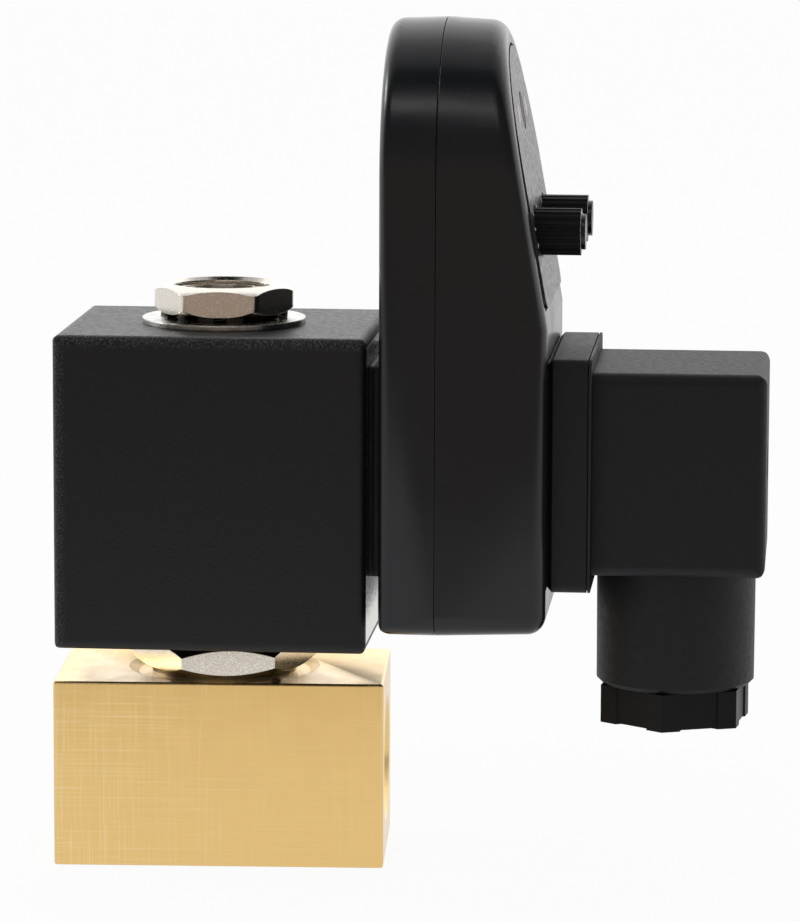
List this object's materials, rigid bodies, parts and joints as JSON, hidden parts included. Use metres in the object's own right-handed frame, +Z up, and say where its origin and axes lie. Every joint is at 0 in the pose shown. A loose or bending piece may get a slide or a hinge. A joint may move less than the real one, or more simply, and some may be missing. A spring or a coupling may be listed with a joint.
{
  "type": "automatic drain valve",
  "caption": "Timer-controlled condensate drain valve: brass two-way solenoid valve with coil, plug-in timer module with adjusting knobs, and cable plug with gland",
  "frame": {"origin": "centre of the brass valve body's underside, on the core tube's axis", "axes": "+Z up along the core tube; +X along the ports, from inlet to outlet, on the timer's side; +Y completes the right-handed frame"},
  "size_m": [0.0974, 0.0414, 0.1152],
  "materials": {
    "brass": "milled and turned bright brass",
    "nickel_steel": "bright nickel-plated steel",
    "stainless": "turned stainless steel",
    "zinc_steel": "zinc-plated steel",
    "spring_steel": "drawn stainless spring wire",
    "magnetic_steel": "cold-formed magnetic steel",
    "copper_wire": "enamelled copper winding",
    "copper": "bare copper",
    "tinned_brass": "tinned brass",
    "coil_resin": "black glass-filled moulded resin, fine grain",
    "case_plastic": "black satin moulded plastic",
    "knob_plastic": "black fluted moulded plastic",
    "plate_film": "black satin plastic sheet",
    "bobbin_plastic": "natural glass-filled nylon",
    "terminal_plastic": "black moulded nylon",
    "board_laminate": "green epoxy board",
    "component_case": "moulded component cases",
    "lens_red": "clear red moulded lens",
    "rubber": "black nitrile rubber",
    "seal_rubber": "black fluoro-rubber"
  },
  "bodies": {
    "valve": {"valve_body": "brass", "bonnet_o_ring": "rubber", "core_tube": "nickel_steel", "fixed_core": "stainless", "shading_ring": "copper", "plunger_spring": "spring_steel", "coil_o_ring": "rubber", "flat_washer": "nickel_steel", "lock_washer": "nickel_steel", "coil_nut": "nickel_steel"},
    "plunger": {"plunger": "stainless", "plunger_seal": "seal_rubber"},
    "coil_unit": {"coil_housing": "coil_resin", "magnet_yoke": "magnetic_steel", "coil_bobbin": "bobbin_plastic", "copper_winding": "copper_wire", "coil_contacts": "tinned_brass", "base_gasket": "rubber", "timer_rear_shell": "case_plastic", "timer_front_shell": "case_plastic", "timer_socket": "terminal_plastic", "circuit_board": "board_laminate", "board_components": "component_case", "potentiometers": "component_case", "button_switch": "terminal_plastic", "timer_contacts": "tinned_brass", "face_plate": "plate_film", "indicator_lenses": "lens_red", "case_screws": "zinc_steel", "plug_gasket": "rubber", "plug_housing": "case_plastic", "terminal_block": "terminal_plastic", "terminal_screws": "zinc_steel", "mounting_screw": "zinc_steel", "gland_seal": "rubber", "gland_washer": "nickel_steel", "gland_nut": "knob_plastic"},
    "interval_knob": {"interval_knob": "knob_plastic"},
    "drain_knob": {"drain_knob": "knob_plastic"},
    "test_button": {"test_button": "knob_plastic"}
  },
  "joints": [
    {"name": "coil_swivel", "type": "hinge", "parent": "valve", "child": "coil_unit", "pos_m": [0, 0, 0.05], "axis": [0, 0, 1], "continuous": true},
    {"name": "plunger_lift", "type": "slide", "parent": "valve", "child": "plunger", "axis": [0, 0, 1], "range_m": [0, 0.0018], "stiffness_N_per_m": 250, "springref_m": -0.004, "deforming": ["plunger_spring"]},
    {"name": "interval_knob_turn", "type": "hinge", "parent": "coil_unit", "child": "interval_knob", "pos_m": [0.04646, -0.01145, 0.0872], "axis": [0.9986, -0.0523, 0], "range_deg": [-135, 135]},
    {"name": "drain_knob_turn", "type": "hinge", "parent": "coil_unit", "child": "drain_knob", "pos_m": [0.04741, 0.00653, 0.0872], "axis": [0.9986, -0.0523, 0], "range_deg": [-135, 135]},
    {"name": "test_button_press", "type": "slide", "parent": "coil_unit", "child": "test_button", "axis": [-0.9841, 0.0516, -0.1702], "range_m": [0, 0.0008], "stiffness_N_per_m": 800, "springref_m": -0.0005}
  ]
}
